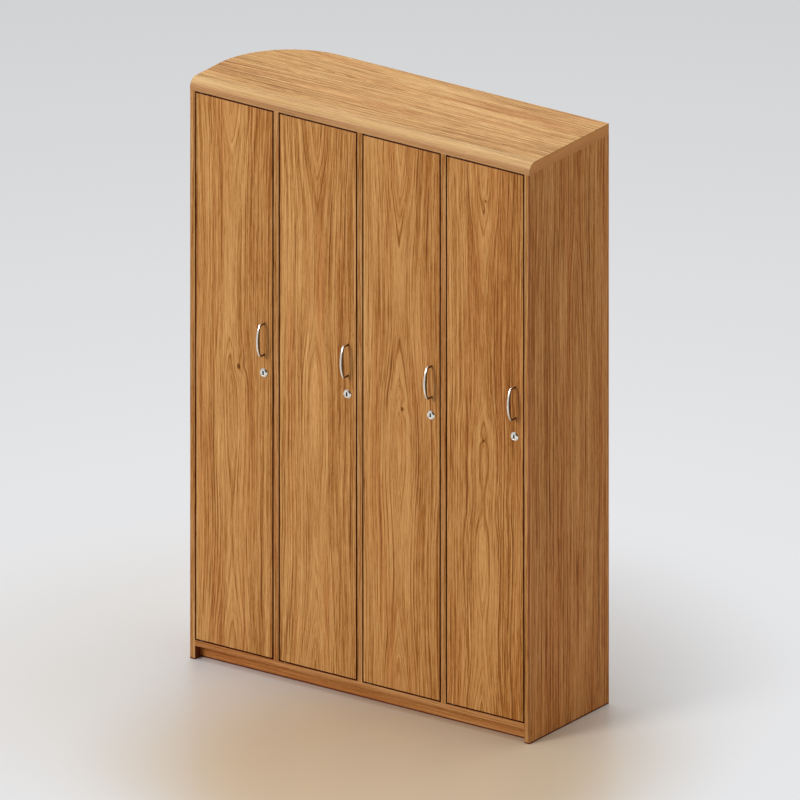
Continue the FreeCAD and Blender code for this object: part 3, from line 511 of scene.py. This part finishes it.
def metal(name, colour, smooth, rough, lines, shade=None):
    """A metal brushed in so many lines per metre along each axis; shade may darken parts of it."""
    material = bpy.data.materials.new(name)
    g = Graph(material)
    place = g.add("ShaderNodeTexCoord")
    point = tuple(g.split(place.outputs["Object"]))
    scaled = [g.math("MULTIPLY", part, scale) for part, scale in zip(point, lines)]
    brushed = g.noise(*scaled, detail=3, roughness=0.6)
    patches = g.noise(*(g.math("MULTIPLY", part, PATCH_SCALE) for part in point), detail=3, roughness=0.55)
    tint = g.mix(g.step(patches, *PATCH_CUT), *two_tone(colour, PATCH_TONE))
    if shade:
        tint = shade(g, point, g.split(place.outputs["Normal"]), tint)
    bump = g.add("ShaderNodeBump", {"Strength": 0.12, "Distance": 0.0001, "Height": brushed})
    shader = g.add(
        "ShaderNodeBsdfPrincipled",
        {
            "Base Color": tint,
            "Metallic": 1.0,
            "Roughness": g.step(brushed, *BRUSH_CUT, smooth, rough),
            "Normal": bump.outputs[0],
        },
    )
    g.surface(shader.outputs[0])
    return material


def handle_shade(g, point, normal, colour):
    """The flanks of a handle are painted dark beside its bright front, a painted dark reflection."""
    return g.mix(g.step(g.math("ABSOLUTE", normal[0]), *FLANK_FACE), colour, FLANK_SHADE)


def keyway_shade(plug):
    """The key slot of a lock plug is painted black inside and in a rim round its mouth, as painted shade."""
    low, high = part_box(plug)
    middle = (low + high) / 2

    def shade(g, point, normal, colour):
        wide = g.math("ABSOLUTE", g.math("SUBTRACT", point[0], middle.x))
        tall = g.math("ABSOLUTE", g.math("SUBTRACT", point[2], middle.z))
        rim = g.math("MULTIPLY", g.below(wide, *SLOT_WIDE), g.below(tall, *SLOT_TALL))
        deep = g.step(point[1], *(low.y + depth for depth in SLOT_DEEP))
        return g.mix(g.math("MAXIMUM", rim, deep), colour, KEYHOLE_SHADE)

    return shade


def plastic(name, colour, roughness):
    """A moulded plastic with a slight skin texture."""
    material = bpy.data.materials.new(name)
    g = Graph(material)
    place = g.add("ShaderNodeTexCoord")
    point = g.split(place.outputs["Object"])
    grain = g.noise(*(g.math("MULTIPLY", part, SKIN_SCALE) for part in point))
    bump = g.add("ShaderNodeBump", {"Strength": 0.15, "Distance": 0.0001, "Height": grain})
    shader = g.add(
        "ShaderNodeBsdfPrincipled",
        {
            "Base Color": g.mix(grain, *two_tone(colour, SKIN_TONE)),
            "Roughness": g.math("MULTIPLY_ADD", grain, SKIN_ROUGHNESS, roughness),
            "Normal": bump.outputs[0],
        },
    )
    g.surface(shader.outputs[0])
    return material


def paint(material, *names):
    for name in names:
        mesh = nodes[name].data
        if not mesh.materials:
            mesh.materials.append(material)
        for slot in nodes[name].material_slots:
            slot.material = material


# Figures: how deep the heart's arches stand at each length along the grain, in metres. Where the depth grows, the
# flames point forwards along it, which is up on a door, and where it shrinks they point back
DOOR_FIGURES = {
    1: (
        (0.0, 0.006), (0.06, 0.010), (0.33, 0.042), (0.45, 0.045), (0.85, 0.034),
        (1.06, 0.056), (1.18, 0.059), (1.50, 0.056), (1.76, 0.026), (2.0, 0.010),
    ),
    2: (
        (0.0, 0.006), (0.08, 0.012), (0.37, 0.042), (0.50, 0.044), (0.88, 0.032),
        (1.14, 0.056), (1.25, 0.058), (1.45, 0.054), (1.74, 0.020), (2.0, 0.010),
    ),
    3: (
        (0.0, 0.006), (0.06, 0.010), (0.34, 0.042), (0.48, 0.043), (0.88, 0.026), (1.05, 0.044),
        (1.22, 0.058), (1.30, 0.059), (1.44, 0.055), (1.74, 0.020), (2.0, 0.010),
    ),
    4: (
        (0.0, 0.006), (0.06, 0.010), (0.30, 0.038), (0.45, 0.030), (0.58, 0.028), (0.72, 0.043), (0.84, 0.036),
        (1.05, 0.056), (1.15, 0.058), (1.40, 0.055), (1.70, 0.022), (1.76, 0.018), (2.0, 0.010),
    ),
}
SIDE_FIGURE = ((0.0, 0.012), (0.4, 0.020), (0.9, 0.010), (1.3, 0.018), (1.6, 0.034), (2.0, 0.010))
LEVEL_FIGURE = ((0.0, 0.016), (0.3, 0.030), (0.5, 0.018), (0.7, 0.030), (1.0, 0.016), (2.0, 0.016))
DOOR_TONES = {1: 0.575, 2: 0.575, 3: 0.565, 4: 0.548}
DOOR_LEANS = {1: 0.090, 2: 0.045, 3: 0.090, 4: 0.080}
DOOR_SEEDS = {1: 3.37, 2: 6.74, 3: 10.11, 4: 17.30}
HEART_SHIFT = -0.008  # from the middle of a door
# Knots on the doors: x, z and width
KNOTS = {
    1: ((-0.428, 0.944, 0.0064),),
    3: ((0.151, 0.940, 0.0050),),
    4: ((0.438, 0.905, 0.0034), (0.445, 1.650, 0.0036)),
}
for door in DOORS:
    low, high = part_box(f"door_{door}")
    veneer = wood(
        f"door_veneer_{door}",
        along="z",
        centre=(low.x + high.x) / 2 + HEART_SHIFT + FRONT,
        figure=DOOR_FIGURES[door],
        seed=DOOR_SEEDS[door],
        trim=door_trim(low, high),
        base=DOOR_TONES[door],
        lean=DOOR_LEANS[door],
        knots=[(at + FRONT, z, size) for at, z, size in KNOTS.get(door, ())],
    )
    paint(veneer, f"door_{door}")

side_wood = wood(
    "carcass_veneer",
    along="z",
    centre=RIGHT + 0.06,
    figure=SIDE_FIGURE,
    seed=21.3,
    trim=carcass_trim,
    base=0.635,
    ramp=RED_TEAK,
    contrast=1.35,
    gloss=0.08,
)
paint(side_wood, "side_panel_left", "corner_panel", "side_panel_right")
paint(side_wood, "partition_1", "partition_2", "partition_3")
top_wood = wood(
    "top_veneer",
    along="x",
    centre=TOP + 0.09,
    figure=LEVEL_FIGURE,
    seed=5.1,
    trim=top_trim,
    base=0.500,
    ramp=PALE_TEAK,
    contrast=1.6,
    gloss=0.35,
)
paint(top_wood, "top_panel")
level_wood = wood(
    "plinth_veneer",
    along="x",
    centre=-0.5,
    figure=LEVEL_FIGURE,
    seed=8.4,
    trim=rail_trim,
    base=0.57,
    ramp=RED_TEAK,
    contrast=0.75,
    gloss=0.1,
)
paint(level_wood, "bottom_panel", "plinth_front", "plinth_rear")
paint(level_wood, "shelf_1", "shelf_2", "shelf_3", "shelf_4")
back_wood = wood(
    "back_board",
    along="z",
    centre=0.1,
    figure=SIDE_FIGURE,
    seed=33.0,
    trim=carcass_trim,
    base=0.50,
    contrast=0.7,
    gloss=0.06,
)
paint(back_wood, "back_panel")
dowel_wood = wood(
    "dowel_wood",
    along="z",
    centre=0.0,
    figure=SIDE_FIGURE,
    seed=41.0,
    trim=plain_trim,
    base=0.9,
    ramp=PALE_TEAK,
    contrast=0.4,
)
paint(dowel_wood, "carcass_dowels")

nickel = metal(
    "satin_nickel", (0.95, 0.87, 0.76), smooth=0.18, rough=0.30, lines=(900, 900, 60), shade=handle_shade
)
chrome = metal("lock_chrome", (0.96, 0.92, 0.83), smooth=0.05, rough=0.09, lines=(500, 500, 500))
zinc = metal("zinc_steel", (0.58, 0.58, 0.60), smooth=0.28, rough=0.45, lines=(600, 600, 600))
bronzed = metal("bronzed_steel", (0.050, 0.032, 0.022), smooth=0.35, rough=0.50, lines=(600, 600, 600))
paint(zinc, "shelf_pins", "strike_plates", "carcass_screws", "back_screws")
paint(nickel, "coat_hooks")
paint(plastic("bush_plastic", (0.030, 0.021, 0.015), roughness=0.42), "pivot_bushes")
paint(plastic("catch_plastic", (0.30, 0.19, 0.11), roughness=0.40), "magnetic_catches")
for door in DOORS:
    paint(nickel, f"door_{door}_handle")
    paint(chrome, f"door_{door}_lock_housing")
    keyed = metal(
        f"lock_plug_{door}",
        (0.95, 0.91, 0.83),
        smooth=0.08,
        rough=0.16,
        lines=(500, 500, 500),
        shade=keyway_shade(f"lock_{door}_plug"),
    )
    paint(keyed, f"lock_{door}_plug")
    paint(bronzed, f"door_{door}_pivots")
    paint(zinc, f"door_{door}_catch_plate", f"door_{door}_fasteners")
    paint(zinc, f"lock_{door}_cam", f"lock_{door}_cam_screw")

# Camera at the photograph's angle, with parallel rays
AZIMUTH, ELEVATION = math.radians(35.08), math.radians(21.22)
VIEW_SIZE = 2.3145
VIEW_DISTANCE = 8
VIEW_END = 100
VIEW_CENTRE = Vector((0, 0.019, 0.9))
SHIFT_RIGHT, SHIFT_DOWN = 0.0017, 0.0269
right = Vector((math.cos(AZIMUTH), math.sin(AZIMUTH), 0))
back = Vector((
    math.sin(AZIMUTH) * math.cos(ELEVATION),
    -math.cos(AZIMUTH) * math.cos(ELEVATION),
    math.sin(ELEVATION),
))
up = back.cross(right)
aim = VIEW_CENTRE + right * SHIFT_RIGHT - up * SHIFT_DOWN
camera = bpy.data.objects.new("camera", bpy.data.cameras.new("camera"))
camera.data.type = "ORTHO"
camera.data.ortho_scale = VIEW_SIZE
camera.data.clip_end = VIEW_END
camera.matrix_world = Matrix((right, up, back)).transposed().to_4x4()
camera.location = aim + back * VIEW_DISTANCE
scene.collection.objects.link(camera)
scene.camera = camera

# Soft studio light
LIGHT_AIM = Vector((0, 0, 0.9))


def softbox(name, way, distance, size, level):
    """An area light that gives a face square to it the level, where 1 renders a colour as it is written."""
    data = bpy.data.lights.new(name, "AREA")
    data.shape = "RECTANGLE"
    data.size, data.size_y = size
    data.energy = level * (math.pi * distance) ** 2
    lamp = bpy.data.objects.new(name, data)
    way = Vector(way).normalized()
    lamp.location = LIGHT_AIM + way * distance
    lamp.rotation_mode = "QUATERNION"
    lamp.rotation_quaternion = way.to_track_quat("Z", "Y")
    scene.collection.objects.link(lamp)


softbox("key", way=(-0.42, -1.0, 0.56), distance=20.0, size=(5.5, 5.5), level=0.55)
softbox("overhead", way=(0.0, 0.1, 1.0), distance=5.0, size=(4.0, 4.0), level=0.60)

# Surroundings: an even sky with a dark patch for the metal to mirror, and a plain grey behind the object
SKY_LEVEL, PATCH_LEVEL = 0.56, 0.05
PATCH_WAY = (0.55, -0.60, 0.58)
PATCH_EDGE = (0.70, 0.94)
WHITE = (1, 1, 1, 1)
BACKDROP = (0.716, 0.720, 0.735, 1)
world = bpy.data.worlds.new("studio")
scene.world = world
g = Graph(world)
way = g.split(g.add("ShaderNodeTexCoord").outputs["Generated"])
facing = g.chain("ADD", *(g.math("MULTIPLY", part, share) for part, share in zip(way, PATCH_WAY)))
sky = g.step(facing, *PATCH_EDGE, SKY_LEVEL, PATCH_LEVEL)
ambient = g.add("ShaderNodeBackground", {"Color": WHITE, "Strength": sky})
plain = g.add("ShaderNodeBackground", {"Color": BACKDROP, "Strength": 1.0})
seen = g.add("ShaderNodeLightPath").outputs["Is Camera Ray"]
g.surface(g.choose(seen, ambient, plain), "ShaderNodeOutputWorld")

# Floor, beige in front of the object and as pale as the background farther out; distances in metres
FLOOR_REACH = 40
FLOOR_DROP = 0.0005  # keeps it clear of the part's foot
BEIGE, PALE = (0.620, 0.503, 0.360, 1), (0.75, 0.74, 0.725, 1)
BEIGE_SPOT, BEIGE_END = (0.40, -0.57), (0.38, 1.05)
FAR_WHITE = (0.993, 1.0, 1.02, 1)
FAR_FADE = {"From Min": 1.5, "From Max": 5.5, "To Min": 0.80, "To Max": 0.65}
FAR_SPOT, FAR_START = (-0.20, -0.15), (0.75, 1.6)
FAR_FROM_BEIGE = (0.5, 1.1)
FLOOR_ROUGHNESS = 0.32
floor_mesh = bpy.data.meshes.new("floor")
corners = [(x * FLOOR_REACH, y * FLOOR_REACH, 0) for x, y in ((-1, -1), (1, -1), (1, 1), (-1, 1))]
floor_mesh.from_pydata(corners, [], [(0, 1, 2, 3)])
floor = bpy.data.objects.new("floor", floor_mesh)
floor.location.z = -FLOOR_DROP
scene.collection.objects.link(floor)
floor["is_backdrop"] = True
floor_material = bpy.data.materials.new("floor")
floor_mesh.materials.append(floor_material)
g = Graph(floor_material)
x, y, _ = g.split(g.add("ShaderNodeTexCoord").outputs["Object"])
warm, spread = (
    g.length(g.math("SUBTRACT", x, spot[0]), g.math("SUBTRACT", y, spot[1])) for spot in (BEIGE_SPOT, FAR_SPOT)
)
colour = g.mix(g.step(warm, *BEIGE_END), BEIGE, PALE)
lit = g.add("ShaderNodeBsdfPrincipled", {"Base Color": colour, "Roughness": FLOOR_ROUGHNESS})
fade = g.add("ShaderNodeMapRange", {"Value": g.length(x, y), **FAR_FADE})
far = g.add("ShaderNodeEmission", {"Color": FAR_WHITE, "Strength": fade.outputs[0]})
rays = g.add("ShaderNodeLightPath").outputs
visible = g.chain("MAXIMUM", rays["Is Camera Ray"], rays["Is Glossy Ray"], rays["Is Transmission Ray"])
outer = g.math("MULTIPLY", g.step(spread, *FAR_START), g.step(warm, *FAR_FROM_BEIGE))
g.surface(g.choose(g.math("MULTIPLY", visible, outer), lit, far))

low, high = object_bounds()
